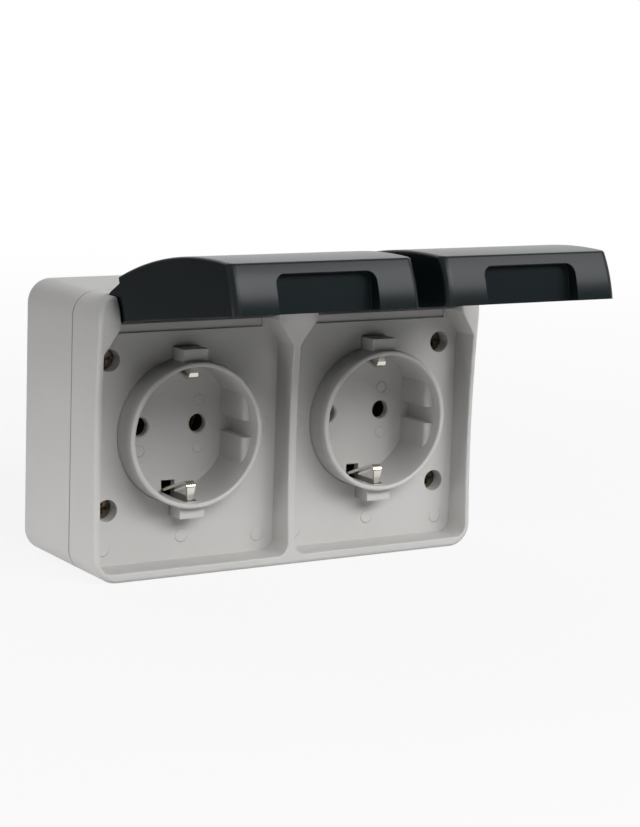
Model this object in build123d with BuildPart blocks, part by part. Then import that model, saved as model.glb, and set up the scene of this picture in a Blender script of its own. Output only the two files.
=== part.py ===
from build123d import *
import os
from math import acos, atan2, cos, hypot, radians, sin, tan

# Two-gang surface-mounted socket for outdoor use, with its two hinged lids standing open.
# Millimetres, +X right, +Z up, front towards -Y, origin in the middle of the rear face.
# A depth is a distance from the wall, so what has depth d lies at y = -d.

# Rear box
BODY_WIDTH = 128.0
BODY_HEIGHT = 81.0
BODY_CORNER = 7.0            # radius of the four edges that run front to back
BOX_DEPTH = 30.4             # wall to seam
BOX_WALL = 2.4
BOX_BACK = 2.5
REAR_EDGE = 1.0              # rounding round the rear face
COLUMN_RADIUS = 4.0          # pillars that take the cover screws
COLUMN_WEB = 1.6
FIXING_SPACING_X = 88.0      # wall screws
FIXING_SPACING_Z = 60.0
FIXING_RADIUS = 2.3
FIXING_COLLAR = 2.5          # width and height of the raised ring round a wall screw
ENTRY_RADIUS = 8.0           # cable entry, above and below
KNOCKOUT_GROOVE = 1.0
KNOCKOUT_SKIN = 0.9

# Seam between box and cover
LIP_CLEAR = 0.2
LIP_THICK = 1.2
LIP_LENGTH = 3.0
GASKET_THICK = 1.8
GASKET_CLEAR = 0.1
LEDGE_THICK = 2.0
SEAM_CHAMFER = 0.3           # on both edges, so that the seam shows as a fine groove

# Front cover
PLATE_DEPTH = 38.0           # front face of the bay plates
PLATE_THICK = 2.5
SIDE_WALL = 1.8              # walls round the bays
FLOOR_WALL = 2.8
DIVIDER = 2.4
BAY_CORNER = 3.5
RIM_ROUND = 1.2              # rounding of the rim's outer edge
RIM_INSIDE = 0.45            # rounding of the rim's edges round the bays
RIM_LOW = 9.8                # rim in front of the plates: a shallow hollow arc from low to high
RIM_MID = 8.3
RIM_HIGH = 9.7
EAR_HEIGHT = 10.0            # hinge ears curve back over this height
EAR_CROWN = 6.6              # in front of the plates, where an ear meets the top
EAR_OUTER = 4.9              # width of the ear beside the outer wall
EAR_INNER = 5.4              # width of the ear beside the divider
GUSSET_RUN = 7.4             # height of the slope that carries an ear
GUSSET_RISE = 1.5            # slope ends this far above the foot of the ear's curve
GUSSET_ROUND = 1.2           # rounding at both ends of the slope
TROUGH_HEIGHT = 11.4         # hinge trough in the top of each plate
TROUGH_DEEP = 0.7

# Cover screws
SCREW_INSET = 8.1            # from the sides of the housing
SCREW_Z = 21.55
SCREW_RADIUS = 1.95
SCREW_LENGTH = 22.0
SCREW_HEAD_RADIUS = 3.0
SCREW_HEAD_THICK = 2.2
SCREW_SINK = 4.0             # head lies this far below the plate
SCREW_WELL = 3.2             # radius of the well in the plate
SEAT_THICK = 3.5             # cover below the screw head
BOSS_WALL = 0.9
HOLE_CLEAR = 0.05            # radial clearance of screws and pins
PASS_CLEAR = 0.2             # radial clearance where a screw only passes through

# Socket inserts
SOCKET_SHIFT = 0.15          # from the middle of the bay, outwards
COLLAR_HEIGHT = 8.7          # collar's front edge in front of the plate
COLLAR_RADIUS = 21.2
COLLAR_ROUND = 0.6
RECESS_RADIUS = 19.75
RECESS_DEEP = 17.5
RECESS_FLOOR = 2.5
PIN_PITCH = 19.0
PIN_HOLE = 2.75
PIN_LEAD = 3.2
NOSE_FACE = 17.0             # inner face of the side noses, from the socket's axis
NOSE_LOW = 2.5
NOSE_HIGH = 10.4
NOSE_LENGTH = 13.6
NOSE_ROUND = 1.6
TAB_WIDTH = 8.0              # housings that cover the earth clips above and below the collar
TAB_REACH = 24.5
TAB_HEIGHT = 6.3             # in front of the plate
TAB_WALL = 1.0
INSERT_CLEAR = 0.15
FLANGE_RADIUS = 23.2
FLANGE_THICK = 2.0
FLANGE_MARGIN = 2.0          # flange beyond the earth housings
PAD_THICK = 6.2              # pad on the back of the plate that the flange sits on
LUG_RADIUS = 3.0
LUG_REACH = 24.5
LUG_ANGLE = 120.0            # from the horizontal, on the other diagonal than the pillars
LUG_SCREW = 1.25
LUG_SCREW_GRIP = 3.3
LUG_HEAD_RADIUS = 2.4
LUG_HEAD_THICK = 1.6

# Contact carrier and contacts
CARRIER_WIDTH = 38.0
CARRIER_HEIGHT = 30.0
CARRIER_THICK = 14.0
CARRIER_CORNER = 3.0
PILLAR_RADIUS = 3.0          # pillars of the insert that the carrier is screwed to
PILLAR_LENGTH = 9.0
PILLAR_Z = 10.0
CARRIER_SCREW = 1.4
CARRIER_SCREW_LENGTH = 9.5
CARRIER_HEAD_RADIUS = 2.7
CARRIER_HEAD_THICK = 1.8
CONTACT_CLEAR = 0.4
SLEEVE_BORE = 2.95
SLEEVE_WALL = 0.7
SLEEVE_SLIT = 1.0
SLEEVE_SET_BACK = 6.0        # behind the carrier's front
TERMINAL_WIDTH = 7.2
TERMINAL_NEAR = 5.5          # terminal block's reach above or below the pin axis
TERMINAL_FAR = 12.5
TERMINAL_LENGTH = 7.4
TERMINAL_SET_BACK = 4.3      # front of the terminal block, behind the carrier's front
TAB_PLATE = 1.0
WIRE_HOLE = 1.6
TERMINAL_SCREW = 1.7
TERMINAL_HEAD_RADIUS = 2.9
TERMINAL_HEAD_THICK = 1.9
EARTH_SCREW_LENGTH = 8.0
DRIVE_WIDTH = 1.0            # cross recess in every screw head
DRIVE_SHARE = 0.65           # of the head's radius and thickness

# Earth straps
STRAP_WIDTH = 3.6
STRAP_THICK = 0.8
STRAP_BEND = 1.4
STRAP_LEG = 18.9             # legs, above and below the socket's axis
STRAP_CLEAR = 0.4
CLIP_FOOT = 0.5              # in front of the recess floor, where the strip begins to lean inwards
CLIP_FRONT = 14.2            # in front of the recess floor, where it bends over
CLIP_ABOVE = 15.5            # upper clip bends over this far from the socket's axis
CLIP_BELOW = 13.6            # lower clip springs further in
CLIP_WIDTH = 2.9             # strip narrows to this where it bends over
CLIP_END_FRONT = 13.1        # end of the strip, in its housing
CLIP_END = 20.4
CLIP_END_WIDTH = 1.5
EARTH_SLOT = 16.2            # slot in the recess floor, from here outwards

# Lids
LID_SWING = 98.8             # closed to open
HINGE_HEIGHT = 4.5           # axis in front of the plates
HINGE_DROP = 3.3             # axis below the top of the housing
LID_RIM = 4.0                # rim plane behind the axis
LID_WALL = 2.0
LID_DRAFT = 1.5
LID_TIP_GAP = 1.4
LID_TIP_HEIGHT = 13.3
LID_TIP_LEAN = 2.6
LID_ARCH_START = 7.5         # arched back begins this far from the axis
LID_ARCH_HEIGHT = 11.9       # above the rim, where the arched back begins
LID_CROWN = 16.2             # above the rim, at the middle of the arched back
LID_GAP_OUTER = 1.6
LID_GAP_INNER = 2.9
LID_CORNER = 2.1
LID_EDGE = 0.9
NECK_GAP = 0.3
SHOULDER_START = 13.2        # cheeks begin this far from the axis, at the rim
SHOULDER_LEAN = 13.5         # angle at which their ends lean back
BARREL_RADIUS = 4.85
BARREL_WALL = 6.0            # lid is solid from the axis to here
TRUNNION_RADIUS = 2.0
TRUNNION_LENGTH = 3.4
TRUNNION_CLEAR = 0.08
TRUNNION_END = 0.3
FINGER_WIDTH = 30.4
FINGER_HEIGHT = 10.3
FINGER_DEEP = 4.0
FINGER_CORNER = 2.8
SEAL_WIDTH = 2.6
SEAL_THICK = 1.4
SEAL_GAP = 0.4
SEAL_RIB = 1.6

# Cable grommet
GROMMET_FLANGE = 2.0
GROMMET_FLANGE_THICK = 1.3
GROMMET_CLEAR = 0.1
GROMMET_BEAD = 0.7           # bead behind the wall
GROMMET_CONE = 3.0           # height of the membrane's cone
GROMMET_TIP = 3.5
GROMMET_SKIN = 1.0

# Places worked out from the sizes above
TOP = BODY_HEIGHT / 2
BOTTOM = -BODY_HEIGHT / 2
SIDE = BODY_WIDTH / 2
SKIRT = BOX_WALL + LIP_CLEAR + LIP_THICK
PLATE_BACK = PLATE_DEPTH - PLATE_THICK
PAD_BACK = PLATE_BACK - PAD_THICK
FLANGE_BACK = PAD_BACK - FLANGE_THICK
LIP_END = BOX_DEPTH - LIP_LENGTH
LEDGE_FRONT = LIP_END - GASKET_CLEAR - GASKET_THICK
ENTRY_DEPTH = (BOX_BACK + LEDGE_FRONT - LEDGE_THICK) / 2
SCREW_X = SIDE - SCREW_INSET
SCREW_SEAT = PLATE_DEPTH - SCREW_SINK - SCREW_HEAD_THICK
BOSS_END = SCREW_SEAT - SEAT_THICK
SCREW_SPOTS = [(x, z) for x in (-SCREW_X, SCREW_X) for z in (-SCREW_Z, SCREW_Z)]
BAY_INNER = DIVIDER / 2
BAY_OUTER = SIDE - SIDE_WALL
BAY_FLOOR = BOTTOM + FLOOR_WALL
EAR_FACE_INNER = BAY_INNER + EAR_INNER
EAR_FACE_OUTER = BAY_OUTER - EAR_OUTER
GUSSET_TOP = TOP - EAR_HEIGHT + GUSSET_RISE
SOCKET_X = (BAY_INNER + BAY_OUTER) / 2 + SOCKET_SHIFT
LUG_X = LUG_REACH * cos(radians(LUG_ANGLE))
LUG_Z = LUG_REACH * sin(radians(LUG_ANGLE))
LUG_SPOTS = [(LUG_X, LUG_Z), (-LUG_X, -LUG_Z)]
COLLAR_RIM = PLATE_DEPTH + COLLAR_HEIGHT
TAB_FRONT = PLATE_DEPTH + TAB_HEIGHT
FLOOR_FRONT = COLLAR_RIM - RECESS_DEEP
FLOOR_BACK = FLOOR_FRONT - RECESS_FLOOR
CARRIER_REAR = FLOOR_BACK - CARRIER_THICK
TERMINAL_FRONT = FLOOR_BACK - TERMINAL_SET_BACK
TERMINAL_REAR = TERMINAL_FRONT - TERMINAL_LENGTH
TERMINAL_Z = (TERMINAL_NEAR + TERMINAL_FAR) / 2
SLEEVE_FRONT = FLOOR_BACK - SLEEVE_SET_BACK
HINGE_DEPTH = PLATE_DEPTH + HINGE_HEIGHT
HINGE_Z = TOP - HINGE_DROP
LID_TILT = radians(LID_SWING - 90)
LID_ALONG = (0, -cos(LID_TILT), sin(LID_TILT))
LID_OUT = (0, sin(LID_TILT), cos(LID_TILT))
LID_BASE = max(LID_RIM, BARREL_RADIUS)
LID_TIP = HINGE_Z - BAY_FLOOR - LID_TIP_GAP
LID_SPAN = LID_TIP + LID_CROWN     # longer than any cut through a lid
CHEEK_INNER = BAY_INNER + LID_GAP_INNER
CHEEK_OUTER = BAY_OUTER - LID_GAP_OUTER
SEAL_RADIUS = (COLLAR_RADIUS + RECESS_RADIUS) / 2
SEAL_FACE = COLLAR_RIM - HINGE_DEPTH + SEAL_GAP


def front_plane(depth, x=0.0):
    """Plane facing the front: sketch x and y are X and Z, and extrusion goes forward."""
    return Plane(origin=(x, -depth, 0), x_dir=(1, 0, 0), z_dir=(0, -1, 0))


def side_plane(x=0.0):
    """Plane seen from the side: sketch x is depth and sketch y is Z."""
    return Plane(origin=(x, 0, 0), x_dir=(0, -1, 0), z_dir=(-1, 0, 0))


def lid_point(along, out):
    """Point of an open lid in the plane x = 0, from its distances along and out from the axis."""
    y = -HINGE_DEPTH + along * LID_ALONG[1] + out * LID_OUT[1]
    z = HINGE_Z + along * LID_ALONG[2] + out * LID_OUT[2]
    return (0, y, z)


def lid_side():
    """Side view of a lid: sketch x runs from the axis to the tip, sketch y outwards."""
    return Plane(origin=lid_point(0, 0), x_dir=LID_ALONG, z_dir=(-1, 0, 0))


def lid_face(out):
    """Plan view of a lid: sketch x is X, sketch y runs from the tip to the axis."""
    return Plane(origin=lid_point(0, out), x_dir=(1, 0, 0), z_dir=LID_OUT)


def lid_end(along):
    """Front view of a lid: sketch x is X, sketch y runs outwards."""
    return Plane(origin=lid_point(along, 0), x_dir=(1, 0, 0), z_dir=LID_ALONG)


def save(part, name):
    """Label a finished piece and write its file."""
    part.label = name
    export_step(part, f"parts/{name}.step")


def body_outline(inset=0.0):
    """Rounded outline of the housing, drawn inset from its outer faces."""
    RectangleRounded(BODY_WIDTH - 2 * inset, BODY_HEIGHT - 2 * inset, BODY_CORNER - inset)


def body_ring(outer_inset, inner_inset):
    """Band between two insets of the housing's outline."""
    body_outline(outer_inset)
    RectangleRounded(
        BODY_WIDTH - 2 * inner_inset,
        BODY_HEIGHT - 2 * inner_inset,
        BODY_CORNER - inner_inset,
        mode=Mode.SUBTRACT,
    )


# Rear box: moulded tray with the pillars for the cover screws and the seat for the gasket
def rear_box_part():
    with BuildPart() as box:
        with BuildSketch(front_plane(0)):
            body_outline()
        extrude(amount=BOX_DEPTH)
        fillet(box.faces().sort_by(Axis.Y)[-1].edges(), REAR_EDGE)
        chamfer(box.faces().sort_by(Axis.Y)[0].edges(), SEAM_CHAMFER)
        with BuildSketch(front_plane(BOX_BACK)):
            body_outline(BOX_WALL)
        extrude(amount=BOX_DEPTH, mode=Mode.SUBTRACT)
        with BuildSketch(front_plane(LEDGE_FRONT - LEDGE_THICK)):
            body_ring(BOX_WALL, SKIRT)
        extrude(amount=LEDGE_THICK)

        with BuildSketch(front_plane(BOX_BACK)):
            with Locations(*SCREW_SPOTS):
                Circle(COLUMN_RADIUS)
        extrude(amount=BOSS_END - PASS_CLEAR - BOX_BACK)
        with BuildSketch(front_plane(BOX_BACK)):
            web = SIDE - BOX_WALL - SCREW_X
            for x, z in SCREW_SPOTS:
                edge = (SCREW_X + web / 2) * (1 if x > 0 else -1)
                with Locations((edge, z)):
                    Rectangle(web, COLUMN_WEB)
        extrude(amount=LEDGE_FRONT - LEDGE_THICK - BOX_BACK)
        with BuildSketch(front_plane(SCREW_SEAT - SCREW_LENGTH - PASS_CLEAR)):
            with Locations(*SCREW_SPOTS):
                Circle(SCREW_RADIUS + HOLE_CLEAR)
        extrude(amount=SCREW_LENGTH, mode=Mode.SUBTRACT)

        with BuildSketch(front_plane(BOX_BACK)):
            with GridLocations(FIXING_SPACING_X, FIXING_SPACING_Z, 2, 2):
                Circle(FIXING_RADIUS + FIXING_COLLAR)
        extrude(amount=FIXING_COLLAR)
        with BuildSketch(front_plane(0)):
            with GridLocations(FIXING_SPACING_X, FIXING_SPACING_Z, 2, 2):
                Circle(FIXING_RADIUS)
        extrude(amount=BOX_BACK + FIXING_COLLAR, mode=Mode.SUBTRACT)

        with BuildSketch(Plane(origin=(0, -ENTRY_DEPTH, TOP - BOX_WALL))):
            Circle(ENTRY_RADIUS)
        extrude(amount=BOX_WALL, mode=Mode.SUBTRACT)
        with BuildSketch(Plane(origin=(0, -ENTRY_DEPTH, BOTTOM))):
            Circle(ENTRY_RADIUS)
            Circle(ENTRY_RADIUS - KNOCKOUT_GROOVE, mode=Mode.SUBTRACT)
        extrude(amount=BOX_WALL - KNOCKOUT_SKIN, mode=Mode.SUBTRACT)
    return box.part


def insert_footprint(margin):
    """Outline of the part of an insert that passes through the plate."""
    Circle(COLLAR_RADIUS + margin)
    Rectangle(TAB_WIDTH + 2 * margin, 2 * (TAB_REACH + margin))


def flange_footprint():
    """Outline of an insert's flange: a disc, the two earth housings and the two lugs."""
    Circle(FLANGE_RADIUS)
    Rectangle(TAB_WIDTH + 2 * FLANGE_MARGIN, 2 * (TAB_REACH + FLANGE_MARGIN))
    SlotCenterToCenter(2 * LUG_REACH, 2 * LUG_RADIUS, rotation=LUG_ANGLE)


def rim_edges(cover, bay_lines, round_bays):
    """Edges of the cover's curved front: those round the bays, or those on the housing's outline."""
    fronts = cover.faces().filter_by(GeomType.CYLINDER).filter_by(lambda f: f.normal_at().Y < -0.8)
    edges = [edge for face in fronts for edge in face.edges()]
    chosen = []
    for edge in edges:
        middle = edge @ 0.5
        spot = Vertex(middle.X, -PLATE_DEPTH, middle.Z)
        on_bay = min(line.distance_to(spot) for line in bay_lines) < RIM_INSIDE / 4
        shared = sum(edge.is_same(other) for other in edges) > 1
        if on_bay == round_bays and not shared:
            chosen.append(edge)
    return chosen


# Front cover: moulded frame with two bays, hinge ears and the lip that enters the box
def front_cover_part():
    with BuildPart() as cover:
        with BuildSketch(front_plane(BOX_DEPTH)):
            body_outline()
        extrude(amount=PLATE_DEPTH + max(RIM_LOW, RIM_HIGH) - BOX_DEPTH)
        chamfer(cover.faces().sort_by(Axis.Y)[-1].edges(), SEAM_CHAMFER)
        with BuildSketch(side_plane()):
            with BuildLine():
                ear_start = TOP - EAR_HEIGHT
                rim = ThreePointArc(
                    (PLATE_DEPTH + RIM_LOW, BOTTOM),
                    (PLATE_DEPTH + RIM_MID, (BOTTOM + ear_start) / 2),
                    (PLATE_DEPTH + RIM_HIGH, ear_start),
                )
                ear = TangentArc(rim @ 1, (PLATE_DEPTH + EAR_CROWN, TOP), tangent=rim % 1)
                Polyline(ear @ 1, (BOX_DEPTH, TOP), (BOX_DEPTH, BOTTOM), rim @ 0)
            make_face()
        extrude(amount=BODY_WIDTH, both=True, mode=Mode.INTERSECT)

        with BuildSketch(front_plane(PLATE_DEPTH)) as bays:
            with BuildLine():
                Polyline(
                    (BAY_INNER, BAY_FLOOR),
                    (BAY_OUTER, BAY_FLOOR),
                    (BAY_OUTER, GUSSET_TOP - GUSSET_RUN),
                    (EAR_FACE_OUTER, GUSSET_TOP),
                    (EAR_FACE_OUTER, TOP),
                    (EAR_FACE_INNER, TOP),
                    (EAR_FACE_INNER, GUSSET_TOP),
                    (BAY_INNER, GUSSET_TOP - GUSSET_RUN),
                    close=True,
                )
            make_face()
            slope_ends = bays.vertices().filter_by_position(Axis.Y, GUSSET_TOP - GUSSET_RUN, GUSSET_TOP)
            fillet(slope_ends, GUSSET_ROUND)
            fillet(bays.vertices().group_by(Axis.Y)[0], BAY_CORNER)
            mirror(about=Plane.YZ)
        extrude(amount=BODY_HEIGHT, mode=Mode.SUBTRACT)
        bay_lines = bays.sketch.edges()
        fillet(rim_edges(cover, bay_lines, False), min(RIM_ROUND, SIDE_WALL * 2 / 3))
        fillet(rim_edges(cover, bay_lines, True), min(RIM_INSIDE, SIDE_WALL / 4))

        trough_width = EAR_FACE_OUTER - EAR_FACE_INNER
        with BuildSketch(front_plane(PLATE_DEPTH - TROUGH_DEEP)):
            for x in (-1, 1):
                with Locations((x * (EAR_FACE_INNER + EAR_FACE_OUTER) / 2, TOP - TROUGH_HEIGHT / 2)):
                    Rectangle(trough_width, TROUGH_HEIGHT)
        extrude(amount=TROUGH_DEEP, mode=Mode.SUBTRACT)

        with BuildSketch(front_plane(BOX_DEPTH)):
            body_outline(SKIRT)
        extrude(amount=PLATE_BACK - BOX_DEPTH, mode=Mode.SUBTRACT)
        with BuildSketch(front_plane(LIP_END)):
            body_ring(BOX_WALL + LIP_CLEAR, SKIRT)
        extrude(amount=LIP_LENGTH)
        for x in (-SOCKET_X, SOCKET_X):
            with BuildSketch(front_plane(PAD_BACK, x)):
                flange_footprint()
            extrude(amount=PAD_THICK)
            with BuildSketch(front_plane(PAD_BACK, x)):
                insert_footprint(INSERT_CLEAR)
            extrude(amount=PAD_THICK + PLATE_THICK, mode=Mode.SUBTRACT)
            with BuildSketch(front_plane(PAD_BACK, x)):
                with Locations(*LUG_SPOTS):
                    Circle(LUG_SCREW + HOLE_CLEAR)
            extrude(amount=LUG_SCREW_GRIP + PASS_CLEAR, mode=Mode.SUBTRACT)

        with BuildSketch(front_plane(BOSS_END)):
            with Locations(*SCREW_SPOTS):
                Circle(SCREW_WELL + BOSS_WALL)
        extrude(amount=PLATE_BACK - BOSS_END)
        with BuildSketch(front_plane(SCREW_SEAT)):
            with Locations(*SCREW_SPOTS):
                Circle(SCREW_WELL)
        extrude(amount=PLATE_DEPTH - SCREW_SEAT, mode=Mode.SUBTRACT)
        with BuildSketch(front_plane(BOSS_END)):
            with Locations(*SCREW_SPOTS):
                Circle(SCREW_RADIUS + PASS_CLEAR)
        extrude(amount=SEAT_THICK, mode=Mode.SUBTRACT)

        socket_length = TRUNNION_LENGTH + TRUNNION_END
        for face, turn in ((EAR_FACE_OUTER, 1), (EAR_FACE_INNER, -1)):
            for x in (-1, 1):
                with BuildSketch(side_plane(x * face)):
                    with Locations((HINGE_DEPTH, HINGE_Z)):
                        Circle(TRUNNION_RADIUS + TRUNNION_CLEAR)
                extrude(amount=-x * turn * socket_length, mode=Mode.SUBTRACT)
    return cover.part


# Gasket: soft band squeezed between the cover's lip and the ledge in the box
def cover_gasket_part():
    with BuildPart() as gasket:
        with BuildSketch(front_plane(LEDGE_FRONT)):
            body_ring(BOX_WALL + LIP_CLEAR, SKIRT)
        extrude(amount=GASKET_THICK)
    return gasket.part


# Grommet: rubber turning with a groove for the box wall and a closed conical membrane
def cable_grommet_part():
    with BuildPart() as grommet:
        with BuildSketch(Plane(origin=(0, -ENTRY_DEPTH, TOP), x_dir=(1, 0, 0), z_dir=(0, -1, 0))):
            with BuildLine():
                neck = ENTRY_RADIUS - GROMMET_CLEAR
                flange = ENTRY_RADIUS + GROMMET_FLANGE
                inside = -BOX_WALL - GROMMET_CLEAR
                cone_top = GROMMET_FLANGE_THICK + GROMMET_CONE
                Polyline(
                    (0, cone_top),
                    (GROMMET_TIP, cone_top),
                    (neck, GROMMET_FLANGE_THICK),
                    (flange, GROMMET_FLANGE_THICK),
                    (flange, GROMMET_CLEAR),
                    (neck, GROMMET_CLEAR),
                    (neck, inside),
                    (neck + GROMMET_BEAD, inside),
                    (neck + GROMMET_BEAD, inside - GROMMET_FLANGE_THICK),
                    (neck - GROMMET_SKIN, inside - GROMMET_FLANGE_THICK),
                    (neck - GROMMET_SKIN, GROMMET_FLANGE_THICK - GROMMET_SKIN),
                    (GROMMET_TIP, cone_top - GROMMET_SKIN),
                    (0, cone_top - GROMMET_SKIN),
                    close=True,
                )
            make_face()
        revolve(axis=Axis((0, -ENTRY_DEPTH, 0), (0, 0, 1)))
    return grommet.part


# Socket insert: moulded cup with the collar, plug recess, noses, earth housings and flange
def socket_insert_part(x):
    with BuildPart() as insert:
        with BuildSketch(front_plane(FLOOR_BACK, x)):
            Circle(COLLAR_RADIUS)
        extrude(amount=COLLAR_RIM - FLOOR_BACK)
        fillet(insert.faces().sort_by(Axis.Y)[0].edges(), COLLAR_ROUND)
        with BuildSketch(front_plane(FLANGE_BACK, x)):
            Rectangle(TAB_WIDTH, 2 * TAB_REACH)
        extrude(amount=TAB_FRONT - FLANGE_BACK)
        with BuildSketch(front_plane(FLANGE_BACK, x)):
            flange_footprint()
        extrude(amount=FLANGE_THICK)
        with BuildSketch(front_plane(FLOOR_FRONT, x)):
            Circle(RECESS_RADIUS)
        extrude(amount=RECESS_DEEP, mode=Mode.SUBTRACT)
        rim = insert.edges().filter_by(GeomType.CIRCLE).group_by(Axis.Y)[0]
        fillet(rim.sort_by(SortBy.RADIUS)[0], COLLAR_ROUND)

        nose_width = RECESS_RADIUS - NOSE_FACE + COLLAR_ROUND
        with BuildSketch(front_plane(FLOOR_FRONT, x)):
            for side in (-1, 1):
                for level in (-1, 1):
                    place = (side * (NOSE_FACE + nose_width / 2), level * (NOSE_LOW + NOSE_HIGH) / 2)
                    with Locations(place):
                        Rectangle(nose_width, NOSE_HIGH - NOSE_LOW)
            Circle(RECESS_RADIUS + COLLAR_ROUND, mode=Mode.INTERSECT)
        extrude(amount=NOSE_LENGTH)
        nose_fronts = insert.edges().filter_by(Axis.Z).filter_by(
            lambda e: abs(-e.center().Y - FLOOR_FRONT - NOSE_LENGTH) < 0.01
        )
        fillet(nose_fronts, NOSE_ROUND)

        with Locations(front_plane(FLOOR_FRONT, x)):
            with Locations((-PIN_PITCH / 2, 0), (PIN_PITCH / 2, 0)):
                CounterSinkHole(PIN_HOLE, PIN_LEAD, RECESS_FLOOR, 90)

        slot_end = TAB_REACH - TAB_WALL
        with BuildSketch(front_plane(FLOOR_BACK, x)):
            for level in (-1, 1):
                with Locations((0, level * (EARTH_SLOT + slot_end) / 2)):
                    Rectangle(STRAP_WIDTH + 2 * STRAP_CLEAR, slot_end - EARTH_SLOT)
        extrude(amount=TAB_FRONT - TAB_WALL - FLOOR_BACK, mode=Mode.SUBTRACT)

        pillars = [(-PIN_PITCH / 2, -PILLAR_Z), (PIN_PITCH / 2, PILLAR_Z)]
        with BuildSketch(front_plane(FLOOR_BACK - PILLAR_LENGTH, x)):
            with Locations(*pillars):
                Circle(PILLAR_RADIUS)
                Circle(CARRIER_SCREW + HOLE_CLEAR, mode=Mode.SUBTRACT)
        extrude(amount=PILLAR_LENGTH)
        with BuildSketch(front_plane(FLANGE_BACK, x)):
            with Locations(*LUG_SPOTS):
                Circle(LUG_SCREW + PASS_CLEAR)
        extrude(amount=FLANGE_THICK, mode=Mode.SUBTRACT)
    return insert.part


# Contact carrier: insulating block with a pocket for each contact, open at its outer edge
def contact_carrier_part(x):
    with BuildPart() as carrier:
        with BuildSketch(front_plane(CARRIER_REAR, x)):
            RectangleRounded(CARRIER_WIDTH, CARRIER_HEIGHT, CARRIER_CORNER)
        extrude(amount=CARRIER_THICK)
        for side in (-1, 1):
            width = TERMINAL_WIDTH + 2 * CONTACT_CLEAR
            near = TERMINAL_WIDTH / 2 + CONTACT_CLEAR
            far = CARRIER_HEIGHT / 2
            pin = side * PIN_PITCH / 2
            with BuildSketch(front_plane(CARRIER_REAR, x)):
                with Locations((pin, -side * (far - near) / 2)):
                    Rectangle(width, near + far)
            pocket = TERMINAL_FRONT + PASS_CLEAR / 2 - CARRIER_REAR
            extrude(amount=pocket, mode=Mode.SUBTRACT)
            with BuildSketch(front_plane(CARRIER_REAR, x)):
                with Locations((pin, 0)):
                    Circle(SLEEVE_BORE + SLEEVE_WALL + CONTACT_CLEAR)
            extrude(amount=SLEEVE_FRONT + CONTACT_CLEAR - CARRIER_REAR, mode=Mode.SUBTRACT)
            with BuildSketch(front_plane(CARRIER_REAR, x)):
                with Locations((pin, 0)):
                    Circle(PIN_HOLE + PASS_CLEAR)
            extrude(amount=CARRIER_THICK, mode=Mode.SUBTRACT)
            with BuildSketch(front_plane(FLOOR_BACK - PILLAR_LENGTH - PASS_CLEAR, x)):
                with Locations((pin, side * PILLAR_Z)):
                    Circle(PILLAR_RADIUS + PASS_CLEAR)
            extrude(amount=PILLAR_LENGTH + PASS_CLEAR, mode=Mode.SUBTRACT)
            with BuildSketch(front_plane(CARRIER_REAR, x)):
                with Locations((pin, side * PILLAR_Z)):
                    Circle(CARRIER_SCREW + PASS_CLEAR)
            extrude(amount=CARRIER_THICK, mode=Mode.SUBTRACT)
        with BuildSketch(front_plane(CARRIER_REAR, x)):
            Circle(TERMINAL_SCREW + PASS_CLEAR)
        extrude(amount=EARTH_SCREW_LENGTH + PASS_CLEAR, mode=Mode.SUBTRACT)
    return carrier.part


# Phase and neutral contact: slit brass sleeve on a tab that carries the terminal block
def contact_part(x, side):
    pin = side * PIN_PITCH / 2
    level = -side
    sleeve_radius = SLEEVE_BORE + SLEEVE_WALL
    with BuildPart() as contact:
        with BuildSketch(front_plane(TERMINAL_REAR, x)):
            with Locations((pin, 0)):
                Circle(sleeve_radius)
        extrude(amount=SLEEVE_FRONT - TERMINAL_REAR)
        with BuildSketch(front_plane(TERMINAL_REAR, x)):
            with Locations((pin, level * TERMINAL_FAR / 2)):
                Rectangle(TERMINAL_WIDTH, TERMINAL_FAR)
        extrude(amount=TAB_PLATE)
        with BuildSketch(front_plane(TERMINAL_REAR, x)):
            with Locations((pin, level * TERMINAL_Z)):
                Rectangle(TERMINAL_WIDTH, TERMINAL_FAR - TERMINAL_NEAR)
        extrude(amount=TERMINAL_LENGTH)
        with BuildSketch(front_plane(TERMINAL_REAR + TAB_PLATE, x)):
            with Locations((pin, 0)):
                Circle(SLEEVE_BORE)
            with Locations((pin, -level * sleeve_radius / 2)):
                Rectangle(SLEEVE_SLIT, sleeve_radius)
        extrude(amount=SLEEVE_FRONT - TERMINAL_REAR, mode=Mode.SUBTRACT)
        with BuildSketch(front_plane(TERMINAL_REAR, x)):
            with Locations((pin, level * TERMINAL_Z)):
                Circle(TERMINAL_SCREW + HOLE_CLEAR)
        extrude(amount=TERMINAL_LENGTH, mode=Mode.SUBTRACT)
        wire = Plane(
            origin=(x + pin, -(TERMINAL_FRONT - TERMINAL_LENGTH / 3), level * TERMINAL_NEAR),
            x_dir=(1, 0, 0),
            z_dir=(0, 0, level),
        )
        with BuildSketch(wire):
            Circle(WIRE_HOLE)
        extrude(amount=TERMINAL_FAR, mode=Mode.SUBTRACT)
    return contact.part


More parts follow.
